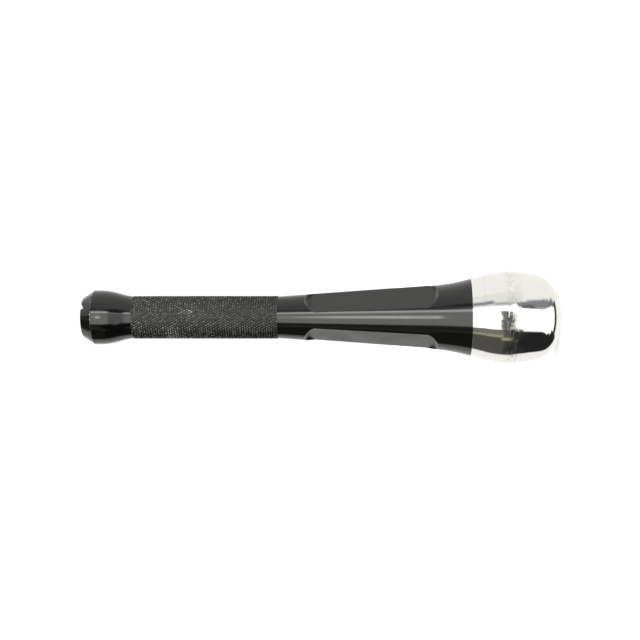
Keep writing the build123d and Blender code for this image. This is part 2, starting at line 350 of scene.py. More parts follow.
def body_surface(z):
    """Radius and slope normal of the turned body at height z, flare or taper."""
    if z >= FLARE_TOP_Z:
        return cone_radius(z), (cos(TAPER), sin(TAPER))
    for below, above in zip(FLARE, FLARE[1:]):
        if z <= above[1]:
            t = (z - below[1]) / (above[1] - below[1])
            r, _, nr, nz, _ = (a + (b - a) * t for a, b in zip(below, above))
            return r, (nr, nz)
    return FLARE[-1][0], (cos(TAPER), sin(TAPER))


class Flat:
    """One milled flat: a shallow pocket, its floor parallel to the taper. x runs across it and y along it."""

    def __init__(self, angle):
        self.angle = angle
        self.half_length = (FLAT_HIGH_Z - FLAT_LOW_Z) / 2 / cos(TAPER)
        self.middle_z = (FLAT_LOW_Z + FLAT_HIGH_Z) / 2
        self.distance = cone_radius(self.middle_z) - FLAT_DEPTH / cos(TAPER)
        self.slant = atan2(FLAT_LOW_HALF_WIDTH - FLAT_HIGH_HALF_WIDTH, 2 * self.half_length)

    def turned(self, radial, across, z):
        c, s = cos(self.angle), sin(self.angle)
        return (radial * c - across * s, radial * s + across * c, z)

    def place(self, x, y, height):
        radial = self.distance - y * sin(TAPER) + height * cos(TAPER)
        return radial, x, self.middle_z + y * cos(TAPER) + height * sin(TAPER)

    def rim_height(self, x, y):
        """How far the turned surface stands above the floor at x, y."""
        radial, _, z = self.place(0, y, FLAT_DEPTH)
        a = cos(2 * TAPER) / cos(TAPER) ** 2
        b = 2 * radial / cos(TAPER)
        fall = (b - sqrt(max(0, b * b - 4 * a * x * x))) / (2 * a)
        return FLAT_DEPTH - fall + body_surface(z)[0] - cone_radius(z)

    def edge_x(self, y):
        """Half the flat's width where its floor breaks out through the turned surface."""
        radial = self.place(0, y, FLAT_DEPTH)[0]
        a = cos(2 * TAPER) / cos(TAPER) ** 2
        return sqrt(2 * radial / cos(TAPER) * FLAT_DEPTH - a * FLAT_DEPTH**2)

    def end_round(self, top, steps, flat_steps):
        """Points of one rounded end, from its centre line to where the wall runs out, each with its way out."""
        way = 1 if top else -1
        half_width = FLAT_HIGH_HALF_WIDTH if top else FLAT_LOW_HALF_WIDTH
        centre_x = half_width - CUTTER_RADIUS * (1 - way * sin(self.slant)) / cos(self.slant)
        centre_y = way * (self.half_length - CUTTER_RADIUS)
        out = 0.0
        while centre_x + CUTTER_RADIUS * cos(out) > self.edge_x(centre_y + way * CUTTER_RADIUS * sin(out)):
            out += radians(0.25)
        points = [(centre_x * k / flat_steps, way * self.half_length, 0, way) for k in range(flat_steps)]
        for k in range(steps + 1):
            a = pi / 2 + (out - pi / 2) * k / steps
            x, y = centre_x + CUTTER_RADIUS * cos(a), centre_y + way * CUTTER_RADIUS * sin(a)
            points.append((x, y, cos(a), way * sin(a)))
        return points

    def outline(self, side_steps):
        """Half the pocket's outline, from the top of the centre line round the side to the bottom of it."""
        columns = COLUMNS // FLAT_COUNT // 2
        top = self.end_round(True, columns - 2, 2)
        bottom = self.end_round(False, columns - 6, 6)
        side = []
        for k in range(1, side_steps):
            y = top[-1][1] + (bottom[-1][1] - top[-1][1]) * k / side_steps
            side.append((self.edge_x(y), y, 1, 0))
        return top + side + bottom[::-1], columns


def flats_block(shell):
    """The taper's stretch with the three flats, as an O-shaped grid of faces round each pocket."""
    side_steps, rings = 24, 6
    z_low, z_high = FLAT_BLOCK_Z
    for index in range(FLAT_COUNT):
        flat = Flat(FLAT_FIRST_ANGLE + index * TURN / FLAT_COUNT)
        half, columns = flat.outline(side_steps)
        count = len(half)
        loops = []
        for k in list(range(count)) + list(range(count - 2, 0, -1)):
            side = 1 if len(loops) < count else -1
            x, y, out_x, out_y = half[k]
            floor_normal = flat.turned(cos(TAPER), 0, sin(TAPER))
            way = (out_y * -sin(TAPER), side * out_x, out_y * cos(TAPER))
            wall_normal = Vector(flat.turned(*(-c for c in way)))
            foot_normal = tuple((wall_normal + Vector(floor_normal)).normalized())
            height = flat.rim_height(x, y)
            lip = min(BEVEL, height / 2)
            run = WALL_RUN * max(height, 0)

            def at(inset, level):
                return flat.place(side * (x - inset * out_x), y - inset * out_y, level)

            floor = shell.add(flat.turned(*at(run + 2 * BEVEL, 0)), floor_normal)
            # The wear values at the foot, crest and run-out lighten the pocket's rim: partly edge wear, partly
            # a painted highlight along the flat's edge.
            if height > 0.03:
                foot = shell.add(flat.turned(*at(run, lip)), foot_normal, 0.2)
                crest = shell.add(flat.turned(*at(0, height - lip)), foot_normal, 0.6)
            else:
                radial, across, z = at(0, 0)
                normal = body_surface(z)[1]
                middle = Vector(flat.turned(cos(TAPER), 0, sin(TAPER)))
                spread = atan2(across, radial)
                middle += Vector(flat.turned(normal[0] * cos(spread), normal[0] * sin(spread), normal[1]))
                foot = crest = shell.add(flat.turned(radial, across, z), tuple(middle.normalized()), 0.35)

            radial, across, z = at(-BEVEL, max(height, 0))
            start_angle = atan2(across, radial)
            if k < columns:
                goal = (side * pi / FLAT_COUNT * k / columns, z_high)
            elif k <= columns + side_steps:
                goal = (side * pi / FLAT_COUNT, z_high + (z_low - z_high) * (k - columns) / side_steps)
            else:
                goal = (side * pi / FLAT_COUNT * (count - 1 - k) / columns, z_low)
            chain = [floor, foot, crest]
            for ring in range(rings + 1):
                t = (ring / rings) ** 1.5
                spot = start_angle + (goal[0] - start_angle) * t
                spot_z = z + (goal[1] - z) * t
                radius, normal = body_surface(spot_z)
                chain.append(shell.around(flat.angle + spot, radius, spot_z, normal))
            loops.append(chain)
        for one, other in zip(loops, loops[1:] + loops[:1]):
            for level in range(len(one) - 1):
                kind = 1 if level < 2 else 0
                shell.face((one[level], other[level], other[level + 1], one[level + 1]), kind)
        for k in range(count - 1):
            left = [loops[-k % len(loops)][0], loops[-(k + 1) % len(loops)][0]]
            shell.face((loops[k][0], left[0], left[1], loops[k + 1][0]), 1)


def knurl_block(shell, below, above):
    """The diamond knurl: a lattice of flat-topped pyramids between two crossing sets of 30 degree grooves."""
    step = (GRIP_END_Z - GRIP_START_Z) / KNURL_ROWS
    steps_round = 2 * KNURL_GROOVES
    span = COLUMNS // steps_round

    def spot(i, j, radius, wear=0.0):
        angle = TURN * i / steps_round
        return shell.add(
            (radius * cos(angle), radius * sin(angle), GRIP_START_Z + step * j),
            (0, 0, 0),
            wear,
        )

    rubs = []
    for _ in range(RUB_COUNT):
        around = random.uniform(0, steps_round)
        along = random.uniform(0.5, 1.05) * KNURL_ROWS
        rubs.append((around, along, random.uniform(1.5, 4)))
    for j in range(KNURL_ROWS + 1):
        for i in range((j + 1) % 2, steps_round, 2):
            use = j / KNURL_ROWS
            rubbed = max(exp(-((i - a) ** 2 + (j - b) ** 2) / size**2) for a, b, size in rubs)
            # Every tip gets at least 0.2 of this value, which paints it grey: partly rubbed anodising, partly a
            # painted highlight on the tips.
            wear_and_highlight = min(1.0, 0.2 + random.random() ** 2 * (0.3 + 0.3 * use) + 0.8 * rubbed * random.random())
            tip = KNURL_TIP * random.uniform(0.6, 1.3) + 0.10 * wear_and_highlight
            tip_radius = KNURL_TIP_RADIUS - random.uniform(0.0, 0.10)
            shoulder = KNURL_ROOT_RADIUS + 0.07
            ways = [(0, -1), (1, 0), (0, 1), (-1, 0)]
            inside = [0 <= j + w[1] <= KNURL_ROWS for w in ways]
            corners, mids, tips = [], [], []
            for (di, dj), there in zip(ways, inside):
                corners.append(spot(i + di, j + dj, KNURL_ROOT_RADIUS) if there else None)
                mid_at = (i + di * KNURL_SHOULDER, j + dj * KNURL_SHOULDER)
                mids.append(spot(*mid_at, shoulder) if there else None)
                tips.append(spot(i + di * tip, j + dj * tip, tip_radius, wear_and_highlight) if there else None)
            lean = random.uniform(-0.35, 0.35) * tip, random.uniform(-0.35, 0.35) * tip
            peak = min(KNURL_TIP_RADIUS, tip_radius + random.uniform(0, 0.09))
            centre = spot(i + lean[0], j + lean[1], peak, wear_and_highlight)
            for a in range(4):
                b = (a + 1) % 4
                if inside[a] and inside[b]:
                    shell.face((corners[a], corners[b], mids[b], mids[a]), 2, True)
                    shell.face((mids[a], mids[b], tips[b], tips[a]), 2, True)
                    shell.face((tips[a], tips[b], centre), 2, True)
            if j in (0, KNURL_ROWS):
                plain = below if j == 0 else above
                hops = ((-1, 0), (-1, 1), (0, 0), (0, 1), (1, 0))
                ring = [plain[((i + d) * span + e) % COLUMNS] for d, e in hops]
                east, west = 1, 3
                chain = [corners[west], mids[west], tips[west], centre, tips[east], mids[east], corners[east]]
                runs = [
                    (ring[0], ring[1], chain[1], chain[0]),
                    (ring[1], chain[2], chain[1]),
                    (ring[1], ring[2], chain[3], chain[2]),
                    (ring[2], ring[3], chain[4], chain[3]),
                    (ring[3], chain[5], chain[4]),
                    (ring[3], ring[4], chain[6], chain[5]),
                ]
                for run in runs:
                    shell.face(run if j == 0 else run[::-1], 2, True)


def thread_wave(z, angle, top_z):
    """0 at a thread's root and 1 at its crest: right-hand, triangular, with flattened crests."""
    turn = ((top_z - z) / THREAD_PITCH + angle / TURN) % 1.0
    return min(1.0, max(0.0, 1.3 * abs(2 * turn - 1) - 0.15))


def threaded(shell, z_from, z_to, radius, depth, kind=0):
    """A threaded cylinder between two heights, whose rows follow the helix's height field."""
    rows = round(abs(z_to - z_from) / THREAD_PITCH * 12)
    outward = 1 if z_to > z_from else -1
    top = max(z_from, z_to)
    small = 0.02

    def depth_at(z, angle):
        fade = min(1, (top - z) / THREAD_PITCH, (z - min(z_from, z_to)) / THREAD_PITCH)
        return radius - outward * depth * (1 - thread_wave(z, angle, top)) * max(0, fade)

    last = None
    for row in range(rows + 1):
        z = z_from + (z_to - z_from) * row / rows
        ring = []
        for k in range(COLUMNS):
            angle = TURN * k / COLUMNS
            slope = (depth_at(z + small, angle) - depth_at(z - small, angle)) / (2 * small)
            length = hypot(1, slope)
            ring.append(
                shell.around(angle, depth_at(z, angle), z, (outward / length, -outward * slope / length))
            )
        if last:
            shell.bridge(last, ring, kind)
        last = ring
    return last


def handle():
    """The whole handle: bores, flare, taper with flats, knurled grip, pommel and the cap's seat."""
    shell = Shell()
    recess_z = BOSS_Z + 0.1
    recess_radius = BOSS_RADIUS + 0.1
    insert_end_z = INSERT_TOP_Z + 0.5
    stations = [(0, TAPPED_END_Z + BOLT_RADIUS * DRILL_SLOPE, 0, -1, 0)]
    inner = [
        (BOLT_RADIUS, TAPPED_END_Z),
        (BOLT_RADIUS, insert_end_z),
        (INSERT_RADIUS + 0.05, insert_end_z),
        (INSERT_RADIUS + 0.05, recess_z),
        (recess_radius, recess_z),
        (recess_radius, JOINT_Z),
        (JOINT_RADIUS, JOINT_Z),
    ]
    for start, end in zip(inner, inner[1:]):
        stations += line(start, end)
    flare = [s for s in FLARE if JOINT_Z + 1.5 * BEVEL < s[1] < FLAT_BLOCK_Z[0] - 0.2]
    first_radius, first_normal = body_surface(JOINT_Z + BEVEL)
    last_radius, last_normal = body_surface(FLAT_BLOCK_Z[0])
    stations += [(first_radius, JOINT_Z + BEVEL, *first_normal, 0.5)] + flare
    stations += [(last_radius, FLAT_BLOCK_Z[0], *last_normal, 0)]
    shell.lathe(stations)
    flats_block(shell)

    block_top = (cone_radius(FLAT_BLOCK_Z[1]), FLAT_BLOCK_Z[1])
    below = shell.lathe(line(block_top, (NECK_RADIUS, NECK_Z), (0, 0), 6))

    neck = (POMMEL_NECK_RADIUS, POMMEL_NECK_Z)
    crown = arc_between((POMMEL_RADIUS, POMMEL_TOP_Z), POMMEL_MIDDLE, (0, -1), 20)[::-1]
    swell = arc_between(POMMEL_MIDDLE, neck, (crown[0][3], -crown[0][2]), 20)[::-1]
    above = shell.ring(swell[0])
    knurl_block(shell, below, above)

    stations = swell + crown[1:-1]
    stations += line((POMMEL_RADIUS, POMMEL_TOP_Z), (POMMEL_RADIUS, CAP_SEAT_Z), (0, BEVEL), 2, (0, 0.5))
    seat = [
        (POMMEL_RADIUS, CAP_SEAT_Z),
        (SEAL_SEAT_RADIUS, CAP_SEAT_Z),
        (SEAL_SEAT_RADIUS, SEAL_Z - 0.05),
        (SHANK_BORE_RADIUS, SEAL_Z - 0.05),
    ]
    for start, end in zip(seat, seat[1:]):
        stations += line(start, end)
    shell.lathe(stations)
    mouth = shell.ring(stations[-1])
    thread_start = shell.ring((SHANK_BORE_RADIUS, SEAL_Z - 0.5, -1, 0, 0))
    shell.bridge(mouth, thread_start)
    threaded(shell, SEAL_Z - 0.5, SHANK_BORE_Z + BEVEL, SHANK_BORE_RADIUS, 0.7)
    stations = [(SHANK_BORE_RADIUS, SHANK_BORE_Z + BEVEL, -1, 0, 0)]
    stations += line((SHANK_BORE_RADIUS, SHANK_BORE_Z), (BORE_RADIUS, SHANK_BORE_Z))
    stations += line((BORE_RADIUS, SHANK_BORE_Z), (BORE_RADIUS, BORE_END_Z), (BEVEL, 0), 4)
    stations += [(0, BORE_END_Z - BORE_RADIUS * DRILL_SLOPE, 0, 1, 0)]
    shell.lathe(stations)
    return shell


# ---------------------------------------------------------------- butt cap


def cap_profile():
    """Stations of the cap's rim and chamfer, from the end face down to the land."""
    foot = (POMMEL_RADIUS, CAP_SEAT_Z + CAP_LAND)
    rim = (CAP_END_RADIUS, END_Z)
    slope = atan2(foot[0] - rim[0], rim[1] - foot[1])
    reach = CAP_RIM * tan((pi / 2 - slope) / 2)
    rounded = arc((rim[0] - reach, rim[1] - CAP_RIM), CAP_RIM, pi / 2, slope, 8)
    chamfer = line(foot, rounded[-1][:2], (BEVEL, 0), 24, (0.66, 0))[::-1]
    return rounded + chamfer[1:]


SLOT_COLUMNS = 86
SLOT_GAP_COLUMNS = 10


def slot_cut(shell, profile):
    """End face and upper chamfer with the coin slot in them. Returns the first whole ring below the slot."""
    floor_z = END_Z - SLOT_DEPTH
    shoulder = SLOT_HALF_WIDTH + BEVEL
    face = [(r, END_Z, 0, 1, 0) for r in (shoulder, 2.5, 3.0, 3.8, 5.0, 6.5, 8.0, 9.6)]
    stations = face + profile
    upper = [s for s in stations if s[1] > floor_z + 2 * BEVEL]
    whole = next(s for s in stations if s[1] < floor_z - BEVEL)
    ahead = (cos(SLOT_ANGLE), sin(SLOT_ANGLE))

    def at(along, across, z, normal, wear=0.0):
        c, s = ahead
        turned = (normal[0] * c - normal[1] * s, normal[0] * s + normal[1] * c, normal[2])
        return shell.add((along * c - across * s, along * s + across * c, z), turned, wear)

    def half_ring(station, side):
        r, z, nr, nz, mark = station
        gap = asin(min(1, shoulder / r))
        angles = [gap + (pi - 2 * gap) * k / SLOT_COLUMNS for k in range(SLOT_COLUMNS + 1)]
        spots = [(r * cos(a), side * r * sin(a), z, (nr * cos(a), side * nr * sin(a), nz)) for a in angles]
        return [at(*spot, mark) for spot in spots][::side]

    ends = {}
    for side in (1, -1):
        rows = [half_ring(station, side) for station in upper + [whole]]
        for higher, lower in zip(rows, rows[1:]):
            shell.bridge(lower, higher, closed=False)
        columns = {}
        for (r, z, *_), row in zip(upper, rows):
            for end in (1, -1):
                along = end * sqrt(max(0, r * r - shoulder**2))
                crest = at(along, side * SLOT_HALF_WIDTH, z - BEVEL, (0, -side, 0), 0.5)
                foot = at(along, side * SLOT_HALF_WIDTH, floor_z + BEVEL, (0, -side, 0))
                floor = at(along, side * (SLOT_HALF_WIDTH - BEVEL), floor_z, (0, 0, 1))
                columns[round(along, 5)] = (row[0 if end * side > 0 else -1], crest, foot, floor)
        ordered = [columns[k] for k in sorted(columns)]
        for one, other in zip(ordered, ordered[1:]):
            for level in range(3):
                quad = (one[level], one[level + 1], other[level + 1], other[level])
                shell.face(quad[::side])
        low_row = rows[-1]
        for end, column in ((1, ordered[-1]), (-1, ordered[0])):
            low_edge = low_row[0 if end * side > 0 else -1]
            shell.face((*column, low_edge)[:: side * end])
        ends[side] = [column[3] for column in ordered]
    shell.bridge(ends[-1], ends[1], closed=False)

    gap = asin(shoulder / whole[0])
    angles = [gap + (pi - 2 * gap) * k / SLOT_COLUMNS for k in range(SLOT_COLUMNS)]
    angles += [pi - gap + 2 * gap * k / SLOT_GAP_COLUMNS for k in range(SLOT_GAP_COLUMNS)]
    angles = [SLOT_ANGLE + a for a in angles + [a + pi for a in angles]]
    ring = shell.ring(whole, angles)
    gaps = ((SLOT_COLUMNS, (ends[-1][0], ends[1][0])), (-SLOT_GAP_COLUMNS, (ends[1][-1], ends[-1][-1])))
    for start, pair in gaps:
        lip = [ring[(start + k) % len(ring)] for k in range(SLOT_GAP_COLUMNS + 1)]
        shell.face((*lip, *pair))
    return whole, angles


def butt_cap():
    """Chamfered cap with its coin slot, land, neck and threaded shank."""
    shell = Shell()
    profile = cap_profile()
    whole, angles = slot_cut(shell, profile)
    lower = [s for s in profile if s[1] <= whole[1]]
    land = [
        (POMMEL_RADIUS, CAP_SEAT_Z + CAP_LAND, 1, 0, 0.66),
        (POMMEL_RADIUS, CAP_SEAT_Z + BEVEL / 2, 1, 0, 0.3),
    ]
    neck = SHANK_RADIUS - THREAD_DEPTH
    inward = [(POMMEL_RADIUS - BEVEL / 2, CAP_SEAT_Z, 0, -1, 0), (neck + BEVEL, CAP_SEAT_Z, 0, -1, 0)]
    rings = [shell.ring(s, angles) for s in lower + land + inward]
    for upper_ring, lower_ring in zip(rings, rings[1:]):
        shell.bridge(lower_ring, upper_ring)
    seat = shell.ring((neck + BEVEL, CAP_SEAT_Z, 0, -1, 0), angles)
    thread_top = CAP_SEAT_Z - SHANK_NECK
    down = [
        (neck, CAP_SEAT_Z - BEVEL, 1, 0, 0),
        (neck, thread_top + 0.3, 1, 0, 0),
        (SHANK_RADIUS, thread_top, 1, 0, 0),
    ]
    start = min(range(len(angles)), key=lambda k: abs(angles[k] % TURN))
    even = [angles[start] + TURN * k / len(angles) for k in range(len(angles))]
    turned = seat[start:] + seat[:start]
    last = turned
    for station in down[:2]:
        ring = shell.ring(station, even)
        shell.bridge(ring, last)
        last = ring
    first = threaded(shell, SHANK_END_Z + THREAD_DEPTH, thread_top, SHANK_RADIUS, THREAD_DEPTH)
    nearest = round(even[0] / TURN * COLUMNS)
    aligned = [first[(nearest + k) % COLUMNS] for k in range(COLUMNS)]
    shell.bridge(aligned, last)
    shell.lathe(
        [(0, SHANK_END_Z, 0, -1, 0)]
        + line((0.5, SHANK_END_Z), (neck, SHANK_END_Z), (0, 0))
        + [(SHANK_RADIUS, SHANK_END_Z + THREAD_DEPTH, 1, 0, 0)]
    )
    return shell


def cap_o_ring():
    """Seal ring with its squeezed, rounded section."""
    shell = Shell()
    fillet = (high("cap_o_ring").z - SEAL_Z) / 3
    inner = SHANK_RADIUS + 0.2
    stations = []
    for k, (r, z) in enumerate(
        (
            (SEAL_RADIUS - fillet, SEAL_Z + fillet),
            (SEAL_RADIUS - fillet, high("cap_o_ring").z - fillet),
            (inner + fillet, high("cap_o_ring").z - fillet),
            (inner + fillet, SEAL_Z + fillet),
        )
    ):
        stations += arc((r, z), fillet, (k - 1) * pi / 2, k * pi / 2, 6)
    last = shell.lathe(stations)
    shell.bridge(last, shell.ring(stations[0]))
    return shell


# ---------------------------------------------------------------- materials


class Paint:
    """A Principled material with short ways to add procedural nodes."""

    def __init__(self, name, colour, roughness, metallic=0.0):
        self.material = bpy.data.materials.new(name)
        self.material.use_nodes = True
        self.tree = self.material.node_tree
        self.shader = next(n for n in self.tree.nodes if n.type == "BSDF_PRINCIPLED")
        self.shader.inputs["Base Color"].default_value = (*colour, 1)
        self.shader.inputs["Roughness"].default_value = roughness
        self.shader.inputs["Metallic"].default_value = metallic
        self.coords = self.tree.nodes.new("ShaderNodeTexCoord").outputs["Object"]

    def put(self, target, value):
        if hasattr(value, "is_output"):
            self.tree.links.new(value, target)
        else:
            target.default_value = value

    def math(self, operation, a, b=0.0, clamp=False):
        node = self.tree.nodes.new("ShaderNodeMath")
        node.operation, node.use_clamp = operation, clamp
        self.put(node.inputs[0], a)
        self.put(node.inputs[1], b)
        return node.outputs[0]

    def height(self):
        node = self.tree.nodes.new("ShaderNodeSeparateXYZ")
        self.put(node.inputs[0], self.coords)
        return node.outputs["Z"]

    def noise(self, scale, stretch=(1, 1, 1), detail=2.0, roughness=0.5):
        mapping = self.tree.nodes.new("ShaderNodeMapping")
        self.put(mapping.inputs["Vector"], self.coords)
        mapping.inputs["Scale"].default_value = stretch
        node = self.tree.nodes.new("ShaderNodeTexNoise")
        self.put(node.inputs["Vector"], mapping.outputs[0])
        node.inputs["Scale"].default_value = scale
        node.inputs["Detail"].default_value = detail
        node.inputs["Roughness"].default_value = roughness
        return node.outputs["Fac"]

    def spots(self, scale, size):
        """1 inside scattered small spots, 0 outside."""
        node = self.tree.nodes.new("ShaderNodeTexVoronoi")
        self.put(node.inputs["Vector"], self.coords)
        node.inputs["Scale"].default_value = scale
        return self.ramp(node.outputs["Distance"], size, size * 0.5)

    def ramp(self, value, start, end, low=0.0, high=1.0):
        """Value mapped smoothly so that start gives low and end gives high."""
        node = self.tree.nodes.new("ShaderNodeMapRange")
        node.interpolation_type = "SMOOTHSTEP"
        for socket, number in zip(node.inputs[:5], (value, start, end, low, high)):
            self.put(socket, number)
        return node.outputs[0]

    def mix(self, factor, one, other):
        node = self.tree.nodes.new("ShaderNodeMix")
        node.data_type = "RGBA"
        self.put(node.inputs["Factor"], factor)
        for socket, colour in ((node.inputs[6], one), (node.inputs[7], other)):
            self.put(socket, (*colour, 1) if isinstance(colour, tuple) else colour)
        return node.outputs[2]

    def attribute(self, name):
        node = self.tree.nodes.new("ShaderNodeAttribute")
        node.attribute_name = name
        return node.outputs["Fac"]

    def bump(self, height, distance, strength=1.0):
        node = self.tree.nodes.new("ShaderNodeBump")
        node.inputs["Strength"].default_value = strength
        node.inputs["Distance"].default_value = distance
        self.put(node.inputs["Height"], height)
        if self.shader.inputs["Normal"].is_linked:
            before = self.shader.inputs["Normal"].links[0].from_socket
            self.tree.links.new(before, node.inputs["Normal"])
        self.tree.links.new(node.outputs[0], self.shader.inputs["Normal"])

    def link(self, name, output):
        self.tree.links.new(output, self.shader.inputs[name])

    def turned(self, amount):
        """Stretches reflections along the axis, across fine turning lines."""
        tangent = self.tree.nodes.new("ShaderNodeTangent")
        tangent.direction_type = "RADIAL"
        tangent.axis = "Z"
        self.link("Tangent", tangent.outputs[0])
        self.shader.inputs["Anisotropic"].default_value = amount
        self.shader.inputs["Anisotropic Rotation"].default_value = 0.25


ANODISED = (0.0016, 0.0016, 0.0015)
BARE_ALUMINIUM = (0.42, 0.41, 0.40)


def anodised(name, roughness, grain, wear_from=0.55, wear_to=0.8):
    """Black anodised aluminium, turning to bright metal where the mesh's wear attribute is high: real edge
    wear, and along the flats' rims partly a painted highlight.
    """
    paint = Paint(name, ANODISED, roughness)
    ragged = paint.math("MULTIPLY_ADD", paint.noise(1400, detail=3), 0.9)
    ragged.node.inputs[2].default_value = -0.45
    wear_and_highlight = paint.math("ADD", paint.attribute("wear"), ragged)
    # Bright metal where the wear value is high: edge wear, and on the flats' rims partly a painted highlight.
    bare_metal_and_rim_highlight = paint.ramp(wear_and_highlight, wear_from, wear_to)
    paint.link("Base Color", paint.mix(bare_metal_and_rim_highlight, ANODISED, BARE_ALUMINIUM))
    paint.link("Metallic", bare_metal_and_rim_highlight)
    cloud = paint.ramp(paint.noise(60, detail=4), 0.3, 0.7, roughness * 0.85, roughness * 1.25)
    paint.link("Roughness", cloud)
    paint.bump(paint.noise(1, grain, detail=1.0), 0.000004, 0.5)
    return paint


def black_turned():
    paint = anodised("black_turned", 0.10, (60, 60, 5200))
    paint.turned(0.5)
    return paint.material


def black_milled():
    return anodised("black_milled", 0.30, (5200, 5200, 50)).material


def black_knurled():
    """The knurl's tips are painted grey, partly as rubbed anodising and partly as a painted highlight on every
    tip; some are down to bright metal.
    """
    paint = Paint("black_knurled", ANODISED, 0.3)
    patchy = paint.ramp(paint.noise(900, detail=2), 0.3, 0.7, -0.12, 0.12)
    wear = paint.math("ADD", paint.attribute("wear"), patchy)
    # Grey on every tip: partly rubbed anodising, partly a painted highlight.
    rubbed_grey_and_tip_highlight = paint.mix(paint.ramp(wear, 0.12, 0.5), ANODISED, (0.072, 0.070, 0.067))
    paint.link("Base Color", paint.mix(paint.ramp(wear, 0.62, 0.95), rubbed_grey_and_tip_highlight, BARE_ALUMINIUM))
    paint.link("Metallic", paint.ramp(wear, 0.62, 0.95))
    paint.link("Roughness", paint.ramp(wear, 0.1, 0.6, 0.42, 0.2))
    return paint.material


def polished_steel():
    """Mirror steel with fine turning lines, a rubbed band at the widest place and a few pits."""
    paint = Paint("polished_steel", (0.74, 0.73, 0.71), 0.07, 1.0)
    from_widest = paint.math("ABSOLUTE", paint.math("SUBTRACT", paint.height(), BARREL_Z * MM))
    band = paint.ramp(from_widest, 0.0065, 0.0005)
    rub = paint.ramp(paint.noise(1, (120, 120, 3400), detail=3), 0.44, 0.6)
    patches = paint.ramp(paint.noise(260, detail=4), 0.40, 0.56)
    rubbed = paint.math("MULTIPLY", paint.math("MULTIPLY", rub, patches), band)
    haze = paint.ramp(paint.noise(45, detail=5), 0.35, 0.75, 0.05, 0.10)
    paint.link("Roughness", paint.math("MULTIPLY_ADD", rubbed, 0.3))
    paint.put(paint.shader.inputs["Roughness"].links[0].from_node.inputs[2], haze)
    pits = paint.math("MULTIPLY", paint.spots(520, 0.075), paint.ramp(paint.noise(70, detail=2), 0.56, 0.66))
    dark = paint.math("MAXIMUM", pits, paint.math("MULTIPLY", rubbed, 0.35))
    paint.link("Base Color", paint.mix(dark, (0.74, 0.73, 0.71), (0.28, 0.27, 0.25)))
    paint.bump(paint.noise(1, (30, 30, 4200), detail=2), 0.0000022, 0.6)
    paint.bump(rubbed, 0.00003, 0.4)
    return paint.material


def plain_metal(name, colour, roughness, metallic=1.0):
    paint = Paint(name, colour, roughness, metallic)
    cloud = paint.ramp(paint.noise(300, detail=4), 0.3, 0.7, roughness * 0.8, roughness * 1.3)
    paint.link("Roughness", cloud)
    paint.bump(paint.noise(2500), 0.00001, 0.4)
    return paint.material


def shot_steel():
    paint = Paint("shot_steel", (0.50, 0.50, 0.51), 0.2, 1.0)
    rub = paint.ramp(paint.noise(700, detail=4), 0.45, 0.65)
    paint.link("Roughness", paint.ramp(rub, 0, 1, 0.14, 0.4))
    paint.link("Base Color", paint.mix(rub, (0.55, 0.55, 0.56), (0.32, 0.31, 0.30)))
    return paint.material


def urethane():
    paint = Paint("urethane", (0.55, 0.30, 0.07), 0.45)
    paint.shader.inputs["Subsurface Weight"].default_value = 0.25
    paint.shader.inputs["Subsurface Radius"].default_value = (0.004, 0.002, 0.0006)
    paint.bump(paint.noise(900, detail=3), 0.00003, 0.4)
    return paint.material


def seal_rubber():
    paint = Paint("seal_rubber", (0.014, 0.014, 0.014), 0.5)
    paint.bump(paint.noise(1800, detail=3), 0.00002, 0.4)
    return paint.material


# ---------------------------------------------------------------- studio


AXIS_BACK = Vector((0.13903, -0.98922, -0.04606)).normalized()
AXIS_RIGHT = (-Vector((0, 0, 1)) + Vector((0, 0, 1)).dot(AXIS_BACK) * AXIS_BACK).normalized()
AXIS_UP = AXIS_BACK.cross(AXIS_RIGHT)
LENS = 67.5
DISTANCE = 0.709
TARGET = Vector((0, 0, 0.1389)) - 0.0016 * AXIS_UP
BACKDROP = 1.05

